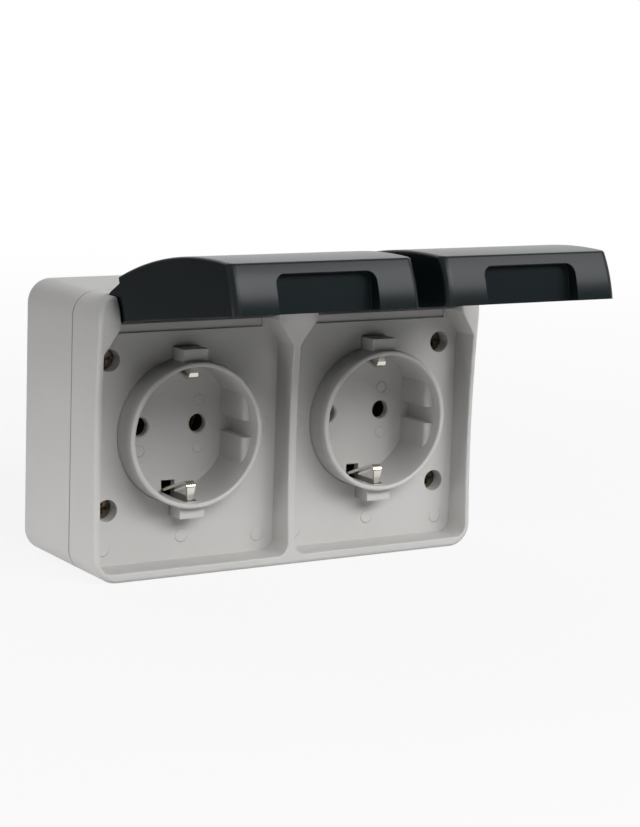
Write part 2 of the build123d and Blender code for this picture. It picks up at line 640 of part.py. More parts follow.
# Earth strap: one nickel-plated strip, bent to a U round the carrier with a sprung clip at each end
def earth_strap_part(x):
    middle = CARRIER_REAR - STRAP_THICK / 2
    bend = FLOOR_FRONT + CLIP_FRONT
    end = FLOOR_FRONT + CLIP_END_FRONT
    clips = ((1, CLIP_ABOVE), (-1, CLIP_BELOW))
    with BuildPart() as strap:
        for level, top in clips:
            with BuildSketch(side_plane(x)):
                with BuildLine():
                    FilletPolyline(
                        (middle, 0),
                        (middle, level * STRAP_LEG),
                        (FLOOR_FRONT + CLIP_FOOT, level * STRAP_LEG),
                        (bend, level * top),
                        (end, level * CLIP_END),
                        radius=STRAP_BEND,
                    )
                trace(line_width=STRAP_THICK)
            extrude(amount=STRAP_WIDTH / 2, both=True)
        with BuildSketch(Plane(origin=(x, -FLOOR_FRONT, 0))):
            for side in (-1, 1):
                with BuildLine():
                    Polyline(
                        (side * STRAP_WIDTH / 2, 0),
                        (side * STRAP_WIDTH, 0),
                        (side * STRAP_WIDTH, -2 * CLIP_FRONT),
                        (side * (CLIP_WIDTH - STRAP_WIDTH / 2), -2 * CLIP_FRONT),
                        close=True,
                    )
                make_face()
        extrude(amount=BODY_HEIGHT, both=True, mode=Mode.SUBTRACT)
        with BuildSketch(front_plane(end - STRAP_THICK, x)):
            for level, top in clips:
                for side in (-1, 1):
                    with BuildLine():
                        Polyline(
                            (side * CLIP_WIDTH / 2, level * (top + STRAP_BEND)),
                            (side * CLIP_END_WIDTH / 2, level * CLIP_END),
                            (side * CLIP_END_WIDTH / 2, level * (CLIP_END + STRAP_THICK)),
                            (side * STRAP_WIDTH, level * (CLIP_END + STRAP_THICK)),
                            close=True,
                        )
                    make_face()
        extrude(amount=CLIP_FRONT, mode=Mode.SUBTRACT)
        with BuildSketch(front_plane(CARRIER_REAR - STRAP_THICK, x)):
            Circle(TERMINAL_SCREW + HOLE_CLEAR)
        extrude(amount=STRAP_THICK, mode=Mode.SUBTRACT)
    return strap.part


def screw_group(spots, seat, forward, shank, length, head, thick):
    """Cross-recess screws side by side. The head's inner face lies at depth seat, and the
    shank leaves it forwards (forward = 1) or towards the wall (forward = -1)."""
    with BuildPart() as screws:
        for x, z in spots:
            with BuildSketch(front_plane(seat)):
                with Locations((x, z)):
                    Circle(shank)
            extrude(amount=forward * length)
            with BuildSketch(front_plane(seat)):
                with Locations((x, z)):
                    Circle(head)
            extrude(amount=-forward * thick)
            with BuildSketch(front_plane(seat - forward * thick)):
                with Locations((x, z)):
                    Rectangle(2 * head * DRIVE_SHARE, DRIVE_WIDTH)
                    Rectangle(DRIVE_WIDTH, 2 * head * DRIVE_SHARE)
            extrude(amount=forward * thick * DRIVE_SHARE, mode=Mode.SUBTRACT)
    return screws.part


def lid_profile(rim):
    """Side outline of a lid down to a rim plane: barrel, flat neck, arched back and curved tip."""
    tip_foot = (LID_TIP, -rim)
    tip_top = (LID_TIP - LID_TIP_LEAN, LID_TIP_HEIGHT - LID_RIM)
    arch = (LID_ARCH_START, LID_ARCH_HEIGHT - LID_RIM)
    crown = ((arch[0] + tip_top[0]) / 2, LID_CROWN - LID_RIM)
    turn = atan2(arch[1], arch[0]) + acos(BARREL_RADIUS / hypot(*arch))
    neck = (BARREL_RADIUS * cos(turn), BARREL_RADIUS * sin(turn))
    with BuildSketch() as profile:
        with BuildLine():
            Line(neck, arch)
            ThreePointArc(arch, crown, tip_top)
            TangentArc(tip_foot, tip_top, tangent=(0, 1))
            Polyline(tip_foot, (BARREL_WALL, -rim), (0, -BARREL_RADIUS))
            ThreePointArc((0, -BARREL_RADIUS), (-BARREL_RADIUS, 0), neck)
        make_face()
    return profile.sketch


def lid_block(hand, rim, inset):
    """Lid's tapered block inside its cheeks, from a rim plane upwards and drawn inset."""
    width = CHEEK_OUTER - CHEEK_INNER - 2 * inset
    with BuildPart() as block:
        with BuildSketch(lid_face(-rim)):
            with Locations((hand * (CHEEK_INNER + CHEEK_OUTER) / 2, -LID_SPAN / 2 + LID_BASE + LID_WALL)):
                Rectangle(width, LID_SPAN)
        extrude(amount=LID_SPAN, taper=LID_DRAFT)
    return block.part


def shoulder_cuts(hand, margin):
    """What is cut from a lid beside its neck: the ends of the cheeks slope in and lean back."""
    neck_inner = EAR_FACE_INNER + NECK_GAP
    neck_outer = EAR_FACE_OUTER - NECK_GAP
    behind = LID_BASE + LID_WALL
    slope_inner = GUSSET_RUN / EAR_INNER
    slope_outer = GUSSET_RUN / EAR_OUTER
    outer = [
        (hand * neck_outer, behind),
        (hand * neck_outer, -SHOULDER_START + (CHEEK_OUTER - neck_outer) * slope_outer),
        (hand * SIDE, -SHOULDER_START - (SIDE - CHEEK_OUTER) * slope_outer),
        (hand * SIDE, behind),
    ]
    inner = [
        (hand * neck_inner, behind),
        (hand * neck_inner, -SHOULDER_START + (neck_inner - CHEEK_INNER) * slope_inner),
        (0, -SHOULDER_START - CHEEK_INNER * slope_inner),
        (0, behind),
    ]
    lean = Vector(*LID_OUT) - Vector(*LID_ALONG) * tan(radians(SHOULDER_LEAN))
    with BuildPart() as cuts:
        with BuildSketch(lid_face(-LID_RIM)):
            for corners in (outer, inner):
                with BuildLine():
                    Polyline(*corners, close=True)
                make_face()
            offset(amount=margin, kind=Kind.INTERSECTION)
        extrude(amount=LID_SPAN, dir=lean, both=True)
    return cuts.part


def finger_outline(hand, margin):
    """Front outline of the finger recess, which runs out through the rim."""
    middle = hand * (CHEEK_INNER + CHEEK_OUTER) / 2
    height = FINGER_HEIGHT + LID_WALL + margin
    with BuildSketch() as outline:
        with Locations((middle, height / 2 - LID_RIM - LID_WALL)):
            Rectangle(FINGER_WIDTH + 2 * margin, height)
        fillet(outline.vertices().group_by(Axis.Y)[-1], FINGER_CORNER + margin)
    return outline.sketch


def lid_hollow(hand):
    """Space inside a lid, open at the rim, round the finger recess and the seal's rib."""
    with BuildPart() as hollow:
        with BuildSketch(lid_side()):
            add(lid_profile(LID_RIM + 2 * LID_WALL))
            offset(amount=-LID_WALL, kind=Kind.INTERSECTION)
            with Locations((BARREL_WALL - LID_SPAN / 2, 0)):
                Rectangle(LID_SPAN, LID_SPAN, mode=Mode.SUBTRACT)
        extrude(amount=BODY_WIDTH, both=True)
        add(lid_block(hand, LID_RIM + LID_WALL, LID_WALL), mode=Mode.INTERSECT)
        add(shoulder_cuts(hand, LID_WALL), mode=Mode.SUBTRACT)
        with BuildSketch(lid_end(LID_TIP - FINGER_DEEP - LID_WALL)):
            add(finger_outline(hand, LID_WALL))
        extrude(amount=FINGER_DEEP + LID_WALL, mode=Mode.SUBTRACT)
        with BuildSketch(lid_face(SEAL_FACE + SEAL_THICK)):
            with Locations((hand * SOCKET_X, -HINGE_Z)):
                Circle(SEAL_RADIUS + SEAL_RIB / 2)
                Circle(SEAL_RADIUS - SEAL_RIB / 2, mode=Mode.SUBTRACT)
        extrude(amount=LID_SPAN, mode=Mode.SUBTRACT)
    return hollow.part


# Lid: thin moulded shell with arched back, finger recess, hinge barrel and two trunnions
def lid_part(hand):
    hollow = lid_hollow(hand)
    with BuildPart() as lid:
        with BuildSketch(lid_side()):
            add(lid_profile(LID_RIM))
        extrude(amount=BODY_WIDTH, both=True)
        add(lid_block(hand, LID_BASE, 0), mode=Mode.INTERSECT)
        add(shoulder_cuts(hand, 0), mode=Mode.SUBTRACT)
        along = Axis(lid_point(0, 0), LID_ALONG)
        tip = lid.faces().sort_by(along)[-1]
        fillet(tip.edges().filter_by(lambda e: abs(e.tangent_at(0.5).X) < 0.5), LID_CORNER)
        back = lid.faces().filter_by(GeomType.CYLINDER).sort_by(SortBy.AREA)[-1]
        fillet(back.edges().filter_by_position(along, SHOULDER_START, LID_TIP), LID_EDGE)
        add(hollow, mode=Mode.SUBTRACT)
        with BuildSketch(lid_end(LID_TIP - FINGER_DEEP)):
            add(finger_outline(hand, 0))
        extrude(amount=FINGER_DEEP, mode=Mode.SUBTRACT)
        with BuildSketch(side_plane(hand * (EAR_FACE_OUTER - NECK_GAP - LID_WALL))):
            with Locations((HINGE_DEPTH, HINGE_Z)):
                Circle(TRUNNION_RADIUS)
        extrude(amount=-hand * (TRUNNION_LENGTH + LID_WALL))
        with BuildSketch(side_plane(hand * (EAR_FACE_INNER + NECK_GAP + LID_WALL))):
            with Locations((HINGE_DEPTH, HINGE_Z)):
                Circle(TRUNNION_RADIUS)
        extrude(amount=hand * (TRUNNION_LENGTH + LID_WALL))
    return lid.part


# Lid seal: soft ring on the lid's inner rib, meeting the collar's rim when the lid is shut
def lid_seal_part(hand):
    with BuildPart() as seal:
        with BuildSketch(lid_face(SEAL_FACE)):
            with Locations((hand * SOCKET_X, -HINGE_Z)):
                Circle(SEAL_RADIUS + SEAL_WIDTH / 2)
                Circle(SEAL_RADIUS - SEAL_WIDTH / 2, mode=Mode.SUBTRACT)
        extrude(amount=SEAL_THICK)
    return seal.part


os.makedirs("parts", exist_ok=True)
save(rear_box_part(), "rear_box")
save(front_cover_part(), "front_cover")
save(cover_gasket_part(), "cover_gasket")
save(cable_grommet_part(), "cable_grommet")

for hand, socket in (("left", -SOCKET_X), ("right", SOCKET_X)):
    save(socket_insert_part(socket), f"{hand}_socket_insert")
    save(contact_carrier_part(socket), f"{hand}_contact_carrier")
    save(contact_part(socket, -1), f"{hand}_phase_contact")
    save(contact_part(socket, 1), f"{hand}_neutral_contact")
    save(earth_strap_part(socket), f"{hand}_earth_strap")

SOCKETS = (-SOCKET_X, SOCKET_X)
PINS = (-PIN_PITCH / 2, PIN_PITCH / 2)
cover_screws = screw_group(
    SCREW_SPOTS, SCREW_SEAT, -1, SCREW_RADIUS, SCREW_LENGTH, SCREW_HEAD_RADIUS, SCREW_HEAD_THICK
)
save(cover_screws, "cover_screws")
lug_spots = [(x + lug_x, lug_z) for x in SOCKETS for lug_x, lug_z in LUG_SPOTS]
insert_screws = screw_group(
    lug_spots,
    FLANGE_BACK,
    1,
    LUG_SCREW,
    FLANGE_THICK + LUG_SCREW_GRIP,
    LUG_HEAD_RADIUS,
    LUG_HEAD_THICK,
)
save(insert_screws, "insert_screws")
pillar_spots = [(x + pin, PILLAR_Z if pin > 0 else -PILLAR_Z) for x in SOCKETS for pin in PINS]
carrier_screws = screw_group(
    pillar_spots,
    CARRIER_REAR,
    1,
    CARRIER_SCREW,
    CARRIER_SCREW_LENGTH,
    CARRIER_HEAD_RADIUS,
    CARRIER_HEAD_THICK,
)
save(carrier_screws, "carrier_screws")
terminal_spots = [(x + pin, TERMINAL_Z if pin < 0 else -TERMINAL_Z) for x in SOCKETS for pin in PINS]
terminal_screws = screw_group(
    terminal_spots,
    TERMINAL_REAR,
    1,
    TERMINAL_SCREW,
    TERMINAL_LENGTH / 3,
    TERMINAL_HEAD_RADIUS,
    TERMINAL_HEAD_THICK,
)
save(terminal_screws, "terminal_screws")
earth_screws = screw_group(
    [(x, 0) for x in SOCKETS],
    CARRIER_REAR - STRAP_THICK,
    1,
    TERMINAL_SCREW,
    EARTH_SCREW_LENGTH,
    TERMINAL_HEAD_RADIUS,
    TERMINAL_HEAD_THICK,
)
save(earth_screws, "earth_screws")

for hand, turn in (("left", -1), ("right", 1)):
    save(lid_part(turn), f"{hand}_lid")
    save(lid_seal_part(turn), f"{hand}_lid_seal")
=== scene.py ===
import math
import bmesh
import bpy
from mathutils import Matrix, Vector


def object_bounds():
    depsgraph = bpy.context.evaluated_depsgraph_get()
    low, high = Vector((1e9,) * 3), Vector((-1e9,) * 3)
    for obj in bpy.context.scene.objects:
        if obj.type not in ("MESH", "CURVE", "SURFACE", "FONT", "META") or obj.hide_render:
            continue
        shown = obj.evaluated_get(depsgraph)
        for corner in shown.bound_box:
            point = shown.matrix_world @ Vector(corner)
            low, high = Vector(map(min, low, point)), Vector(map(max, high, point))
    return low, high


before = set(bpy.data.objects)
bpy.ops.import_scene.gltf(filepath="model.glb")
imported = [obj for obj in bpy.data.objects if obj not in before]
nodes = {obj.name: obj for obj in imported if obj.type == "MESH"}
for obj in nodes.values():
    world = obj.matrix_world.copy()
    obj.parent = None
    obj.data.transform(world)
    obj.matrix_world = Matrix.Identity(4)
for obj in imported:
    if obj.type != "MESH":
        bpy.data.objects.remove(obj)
cad_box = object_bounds()


# Rear box: the tray that sits on the wall, injection moulded in light-grey weatherproof ABS.
# Four screws through its back hold it there, and the supply cable comes in through its top.
def linear(code):
    """An sRGB hex colour as linear red, green, blue and alpha."""
    parts = [int(code[i:i + 2], 16) / 255 for i in (1, 3, 5)]
    return [c / 12.92 if c <= 0.04045 else ((c + 0.055) / 1.055) ** 2.4 for c in parts] + [1.0]


def join(tree, node, inputs):
    """Set a node's inputs to values, or link them to other nodes' outputs."""
    for name, value in inputs.items():
        if isinstance(value, bpy.types.NodeSocket):
            tree.links.new(value, node.inputs[name])
        else:
            node.inputs[name].default_value = value


def add_node(owner, kind, settings, inputs):
    """A new node in a material or the world, with its settings and its inputs."""
    node = owner.node_tree.nodes.new(kind)
    for name, value in settings.items():
        setattr(node, name, value)
    join(owner.node_tree, node, inputs)
    return node


def new_material(name):
    """An empty material, with its shader and the piece's own coordinates ready to be linked."""
    material = bpy.data.materials.new(name)
    material.use_nodes = True
    shader = material.node_tree.nodes["Principled BSDF"]
    place = add_node(material, "ShaderNodeTexCoord", {}, {}).outputs["Object"]
    return material, shader, place


def dress(names, material):
    """Give CAD nodes one finish all over."""
    for name in names:
        nodes[name].data.materials.clear()
        nodes[name].data.materials.append(material)


MM = 0.001  # the scene is in metres


def grey_abs(name, marks, seam=None):
    """Light-grey moulded ABS. The mould is spark-eroded, so the skin is satin with a fine even
    grain, and its edges are a little soft. The ejector pins leave faint discs: marks gives the
    x, z and radius of each in mm. Painted shade darkens the groove of the seam, this many mm from the
    wall."""
    material, skin, place = new_material(name)
    flow = add_node(
        material, "ShaderNodeTexNoise", {}, {"Vector": place, "Scale": 1 / (30 * MM), "Detail": 3.0},
    )
    tone = add_node(
        material, "ShaderNodeMix", {"data_type": "RGBA"},
        {"Factor": flow.outputs["Fac"], "A": linear("#bdbcba"), "B": linear("#c6c5c3")},
    )
    # Painted shade: the colour turns dark in a thin band at the depth of the seam, standing in for the
    # shade in its groove.
    if seam:
        depth = add_node(material, "ShaderNodeSeparateXYZ", {}, {"Vector": place}).outputs["Y"]
        apart = add_node(
            material, "ShaderNodeMath", {"operation": "SUBTRACT"}, {0: depth, 1: -seam * MM},
        )
        apart = add_node(
            material, "ShaderNodeMath", {"operation": "ABSOLUTE"}, {0: apart.outputs["Value"]},
        )
        dust_and_seam_shade = add_node(
            material, "ShaderNodeMapRange", {},
            {
                "Value": apart.outputs["Value"],
                "From Min": 0.1 * MM,
                "From Max": 0.34 * MM,
                "To Min": 1.0,
                "To Max": 0.0,
            },
        )
        tone = add_node(
            material, "ShaderNodeMix", {"data_type": "RGBA"},
            {"Factor": dust_and_seam_shade.outputs["Result"], "A": tone.outputs["Result"], "B": linear("#4e4b47")},
        )
    # The real grain is about 0.1 mm: it is drawn at 0.5 mm, the finest that the picture holds.
    grain = add_node(
        material, "ShaderNodeTexNoise", {}, {"Vector": place, "Scale": 1 / (0.5 * MM), "Detail": 2.0},
    )
    gloss = add_node(
        material, "ShaderNodeMapRange", {},
        {"Value": grain.outputs["Fac"], "To Min": 0.44, "To Max": 0.58},
    )
    soft_edge = add_node(material, "ShaderNodeBevel", {"samples": 4}, {"Radius": 0.18 * MM})
    normal = add_node(
        material, "ShaderNodeBump", {},
        {
            "Height": grain.outputs["Fac"],
            "Strength": 0.22,
            "Distance": 0.04 * MM,
            "Normal": soft_edge.outputs["Normal"],
        },
    )
    if marks:
        flat = add_node(
            material, "ShaderNodeVectorMath", {"operation": "MULTIPLY"}, {0: place, 1: (1, 0, 1)},
        )
        height = 0.0
        for x, z, radius in marks:
            away = add_node(
                material, "ShaderNodeVectorMath", {"operation": "DISTANCE"},
                {0: flat.outputs["Vector"], 1: (x * MM, 0, z * MM)},
            )
            disc = add_node(
                material, "ShaderNodeMapRange", {"interpolation_type": "SMOOTHSTEP"},
                {
                    "Value": away.outputs["Value"],
                    "From Min": (radius - 0.2) * MM,
                    "From Max": (radius + 0.1) * MM,
                    "To Min": 1.0,
                    "To Max": 0.0,
                },
            )
            height = add_node(
                material, "ShaderNodeMath", {"operation": "MAXIMUM"},
                {0: height, 1: disc.outputs["Result"]},
            ).outputs["Value"]
        normal = add_node(
            material, "ShaderNodeBump", {},
            {"Height": height, "Strength": 1.0, "Distance": 0.2 * MM, "Normal": normal.outputs["Normal"]},
        )
    join(
        material.node_tree, skin,
        {
            "Base Color": tone.outputs["Result"],
            "Roughness": gloss.outputs["Result"],
            "Normal": normal.outputs["Normal"],
            "IOR": 1.53,
            "Specular IOR Level": 0.35,
        },
    )
    return material


SEAM_DEPTH = 30.4  # mm from the wall
dress(["rear_box"], grey_abs("moulded_grey_abs_box", [], SEAM_DEPTH))


# Cable grommet: a soft plug of grey rubber in the hole at the top, with a closed cone that is
# cut open to suit the cable. It is moulded in one piece and pushed in until its groove snaps home.
grommet_rubber, rubber_skin, place = new_material("moulded_grey_rubber")
bloom = add_node(
    grommet_rubber, "ShaderNodeTexNoise", {}, {"Vector": place, "Scale": 1 / (6 * MM), "Detail": 4.0},
)
bloom_tone = add_node(
    grommet_rubber, "ShaderNodeMix", {"data_type": "RGBA"},
    {"Factor": bloom.outputs["Fac"], "A": linear("#77797a"), "B": linear("#8a8c8c")},
)
pores = add_node(
    grommet_rubber, "ShaderNodeTexNoise", {}, {"Vector": place, "Scale": 1 / (0.4 * MM), "Detail": 2.0},
)
pore_height = add_node(
    grommet_rubber, "ShaderNodeBump", {},
    {"Height": pores.outputs["Fac"], "Strength": 0.3, "Distance": 0.04 * MM},
)
bloom_gloss = add_node(
    grommet_rubber, "ShaderNodeMapRange", {},
    {"Value": bloom.outputs["Fac"], "To Min": 0.62, "To Max": 0.8},
)
join(
    grommet_rubber.node_tree, rubber_skin,
    {
        "Base Color": bloom_tone.outputs["Result"],
        "Roughness": bloom_gloss.outputs["Result"],
        "Normal": pore_height.outputs["Normal"],
        "IOR": 1.52,
    },
)
dress(["cable_grommet"], grommet_rubber)


# Cover gasket and lid seals: soft black rubber rings, cut or moulded to shape and pressed in place.
# The gasket lies on the ledge of the box, and a seal sits on the round rib inside each lid.
seal_rubber, seal_skin, place = new_material("soft_black_rubber")
dust_and_seam_shade = add_node(
    seal_rubber, "ShaderNodeTexNoise", {}, {"Vector": place, "Scale": 1 / (4 * MM), "Detail": 4.0},
)
dust_tone = add_node(
    seal_rubber, "ShaderNodeMix", {"data_type": "RGBA"},
    {"Factor": dust_and_seam_shade.outputs["Fac"], "A": linear("#141516"), "B": linear("#202123")},
)
pores = add_node(
    seal_rubber, "ShaderNodeTexNoise", {}, {"Vector": place, "Scale": 1 / (0.4 * MM), "Detail": 2.0},
)
pore_height = add_node(
    seal_rubber, "ShaderNodeBump", {},
    {"Height": pores.outputs["Fac"], "Strength": 0.4, "Distance": 0.05 * MM},
)
dust_gloss = add_node(
    seal_rubber, "ShaderNodeMapRange", {},
    {"Value": dust_and_seam_shade.outputs["Fac"], "To Min": 0.68, "To Max": 0.88},
)
join(
    seal_rubber.node_tree, seal_skin,
    {
        "Base Color": dust_tone.outputs["Result"],
        "Roughness": dust_gloss.outputs["Result"],
        "Normal": pore_height.outputs["Normal"],
        "IOR": 1.52,
        "Specular IOR Level": 0.3,
    },
)
dress(["cover_gasket", "left_lid_seal", "right_lid_seal"], seal_rubber)


# Contact carriers: black blocks of moulded insulating plastic behind the plug recesses.
# Each is screwed to two pillars of its insert and holds the contacts in its pockets.
carrier_plastic, carrier_skin, place = new_material("moulded_black_insulator")
fibre = add_node(
    carrier_plastic, "ShaderNodeTexNoise", {}, {"Vector": place, "Scale": 1 / (2 * MM), "Detail": 5.0},
)
fibre_tone = add_node(
    carrier_plastic, "ShaderNodeMix", {"data_type": "RGBA"},
    {"Factor": fibre.outputs["Fac"], "A": linear("#0c0c0d"), "B": linear("#161617")},
)
fibre_height = add_node(
    carrier_plastic, "ShaderNodeBump", {},
    {"Height": fibre.outputs["Fac"], "Strength": 0.3, "Distance": 0.06 * MM},
)
fibre_gloss = add_node(
    carrier_plastic, "ShaderNodeMapRange", {},
    {"Value": fibre.outputs["Fac"], "To Min": 0.55, "To Max": 0.75},
)
join(
    carrier_plastic.node_tree, carrier_skin,
    {
        "Base Color": fibre_tone.outputs["Result"],
        "Roughness": fibre_gloss.outputs["Result"],
        "Normal": fibre_height.outputs["Normal"],
        "IOR": 1.53,
        "Specular IOR Level": 0.3,
    },
)
dress(["left_contact_carrier", "right_contact_carrier"], carrier_plastic)


# Phase and neutral contacts: sleeves and terminal blocks pressed and drawn from bare brass.
# They lie in the carrier's pockets, with faint drawing lines and a slight brown tarnish.
brass, brass_skin, place = new_material("drawn_bare_brass")
tarnish = add_node(
    brass, "ShaderNodeTexNoise", {}, {"Vector": place, "Scale": 1 / (3 * MM), "Detail": 4.0},
)
tarnish_tone = add_node(
    brass, "ShaderNodeMix", {"data_type": "RGBA"},
    {"Factor": tarnish.outputs["Fac"], "A": linear("#7d5f30"), "B": linear("#9c7d46")},
)
# The lines are a few hundredths of a millimetre apart: they are drawn at 0.3 mm to be seen at all.
along_pin = add_node(
    brass, "ShaderNodeMapping", {},
    {"Vector": place, "Scale": (1 / (0.3 * MM), 1 / (6 * MM), 1 / (0.3 * MM))},
)
lines = add_node(
    brass, "ShaderNodeTexNoise", {},
    {"Vector": along_pin.outputs["Vector"], "Scale": 1.0, "Detail": 2.0},
)
line_height = add_node(
    brass, "ShaderNodeBump", {},
    {"Height": lines.outputs["Fac"], "Strength": 0.3, "Distance": 0.02 * MM},
)
line_gloss = add_node(
    brass, "ShaderNodeMapRange", {}, {"Value": lines.outputs["Fac"], "To Min": 0.42, "To Max": 0.58},
)
join(
    brass.node_tree, brass_skin,
    {
        "Base Color": tarnish_tone.outputs["Result"],
        "Metallic": 1.0,
        "Roughness": line_gloss.outputs["Result"],
        "Normal": line_height.outputs["Normal"],
    },
)
for hand in ("left", "right"):
    dress([f"{hand}_phase_contact", f"{hand}_neutral_contact"], brass)


# Earth straps: spring strip with bright nickel plating, bent to a U with a hooked clip at each end.
# The clips reach into the plug recess above and below, and rolling lines run along the strip.
nickel, nickel_skin, place = new_material("rolled_nickel_plate")
haze = add_node(
    nickel, "ShaderNodeTexNoise", {}, {"Vector": place, "Scale": 1 / (4 * MM), "Detail": 3.0},
)
haze_tone = add_node(
    nickel, "ShaderNodeMix", {"data_type": "RGBA"},
    {"Factor": haze.outputs["Fac"], "A": linear("#d3cec4"), "B": linear("#e6e2da")},
)
# Real rolling lines are under 0.05 mm apart: they are drawn at 0.25 mm.
along_strip = add_node(
    nickel, "ShaderNodeMapping", {},
    {"Vector": place, "Scale": (1 / (0.25 * MM), 1 / (8 * MM), 1 / (8 * MM))},
)
rolling = add_node(
    nickel, "ShaderNodeTexNoise", {},
    {"Vector": along_strip.outputs["Vector"], "Scale": 1.0, "Detail": 2.0},
)
rolling_height = add_node(
    nickel, "ShaderNodeBump", {},
    {"Height": rolling.outputs["Fac"], "Strength": 0.12, "Distance": 0.02 * MM},
)
rolling_gloss = add_node(
    nickel, "ShaderNodeMapRange", {}, {"Value": rolling.outputs["Fac"], "To Min": 0.16, "To Max": 0.26},
)
join(
    nickel.node_tree, nickel_skin,
    {
        "Base Color": haze_tone.outputs["Result"],
        "Metallic": 1.0,
        "Roughness": rolling_gloss.outputs["Result"],
        "Normal": rolling_height.outputs["Normal"],
    },
)
dress(["left_earth_strap", "right_earth_strap"], nickel)


# Inner screws: small cross-recess screws of zinc-plated steel for terminals, earth, carriers and
# inserts. They are cold headed, so the heads are smooth, and the plating has a dull bluish bloom.
zinc, zinc_skin, place = new_material("zinc_plated_steel")
bloom = add_node(
    zinc, "ShaderNodeTexNoise", {}, {"Vector": place, "Scale": 1 / (1.5 * MM), "Detail": 4.0},
)
bloom_tone = add_node(
    zinc, "ShaderNodeMix", {"data_type": "RGBA"},
    {"Factor": bloom.outputs["Fac"], "A": linear("#a9acae"), "B": linear("#c9cbcc")},
)
bloom_height = add_node(
    zinc, "ShaderNodeBump", {},
    {"Height": bloom.outputs["Fac"], "Strength": 0.15, "Distance": 0.03 * MM},
)
bloom_gloss = add_node(
    zinc, "ShaderNodeMapRange", {}, {"Value": bloom.outputs["Fac"], "To Min": 0.30, "To Max": 0.48},
)
join(
    zinc.node_tree, zinc_skin,
    {
        "Base Color": bloom_tone.outputs["Result"],
        "Metallic": 1.0,
        "Roughness": bloom_gloss.outputs["Result"],
        "Normal": bloom_height.outputs["Normal"],
    },
)
dress(["terminal_screws", "earth_screws", "carrier_screws", "insert_screws"], zinc)


# Socket inserts: collar, plug recess and earth housings, one grey ABS moulding for each socket.
# They go through the cover from behind and are screwed to it by two lugs.
SOCKET_X = 31.85  # mm from the middle of the housing to that of a socket
RECESS_MARKS = [(x, z, 1.7) for x in (-9.6, 9.6) for z in (-7.0, 7.0)]
for hand, socket in (("left", -SOCKET_X), ("right", SOCKET_X)):
    floor_marks = [(socket + x, z, radius) for x, z, radius in RECESS_MARKS]
    dress([f"{hand}_socket_insert"], grey_abs(f"moulded_grey_abs_{hand}_insert", floor_marks))


# Front cover: the frame with the two bays and the hinge ears, in the same grey ABS as the box.
# It is moulded in one piece and drawn down on the gasket by the four screws in its wells.
BAY_MARKS = [(5.6, 0.3, 2.0), (6.5, -32.8, 2.0), (SOCKET_X, -30.8, 2.0), (57.0, -32.8, 2.0)]
plate_marks = [(side * x, z, radius) for side in (-1, 1) for x, z, radius in BAY_MARKS]
dress(["front_cover"], grey_abs("moulded_grey_abs_cover", plate_marks, SEAM_DEPTH))


# Cover screws: cross-recess screws of passivated steel, sunk in the wells of the cover.
# They are cold headed, and the passivation leaves a dark straw tint that drifts from place to place.
tinted_zinc, tinted_skin, place = new_material("passivated_steel")
drift = add_node(
    tinted_zinc, "ShaderNodeTexNoise", {}, {"Vector": place, "Scale": 1 / (2 * MM), "Detail": 3.0},
)
warm = add_node(
    tinted_zinc, "ShaderNodeMix", {"data_type": "RGBA"},
    {"Factor": drift.outputs["Fac"], "A": linear("#4a4338"), "B": linear("#7a7060")},
)
drift_height = add_node(
    tinted_zinc, "ShaderNodeBump", {},
    {"Height": drift.outputs["Fac"], "Strength": 0.15, "Distance": 0.03 * MM},
)
drift_gloss = add_node(
    tinted_zinc, "ShaderNodeMapRange", {},
    {"Value": drift.outputs["Fac"], "To Min": 0.22, "To Max": 0.36},
)
join(
    tinted_zinc.node_tree, tinted_skin,
    {
        "Base Color": warm.outputs["Result"],
        "Metallic": 1.0,
        "Roughness": drift_gloss.outputs["Result"],
        "Normal": drift_height.outputs["Normal"],
    },
)
dress(["cover_screws"], tinted_zinc)


# Lids: thin moulded shells in anthracite ABS, each snapped between two ears on its trunnions.
# The mould is finer than the box's, so the skin is smoother, with a soft shine at flat angles.
lid_abs, lid_skin, place = new_material("moulded_anthracite_abs")
flow = add_node(
    lid_abs, "ShaderNodeTexNoise", {}, {"Vector": place, "Scale": 1 / (25 * MM), "Detail": 2.0},
)
flow_tone = add_node(
    lid_abs, "ShaderNodeMix", {"data_type": "RGBA"},
    {"Factor": flow.outputs["Fac"], "A": linear("#0f1618"), "B": linear("#141b1d")},
)
# The real grain is about 0.1 mm: it is drawn at 0.45 mm to be seen.
grain = add_node(
    lid_abs, "ShaderNodeTexNoise", {}, {"Vector": place, "Scale": 1 / (0.45 * MM), "Detail": 2.0},
)
soft_edge = add_node(lid_abs, "ShaderNodeBevel", {"samples": 4}, {"Radius": 0.3 * MM})
grain_height = add_node(
    lid_abs, "ShaderNodeBump", {},
    {
        "Height": grain.outputs["Fac"],
        "Strength": 0.1,
        "Distance": 0.03 * MM,
        "Normal": soft_edge.outputs["Normal"],
    },
)
grain_gloss = add_node(
    lid_abs, "ShaderNodeMapRange", {}, {"Value": grain.outputs["Fac"], "To Min": 0.21, "To Max": 0.29},
)
join(
    lid_abs.node_tree, lid_skin,
    {
        "Base Color": flow_tone.outputs["Result"],
        "Roughness": grain_gloss.outputs["Result"],
        "Normal": grain_height.outputs["Normal"],
        "IOR": 1.53,
        "Specular IOR Level": 0.14,
    },
)
dress(["left_lid", "right_lid"], lid_abs)


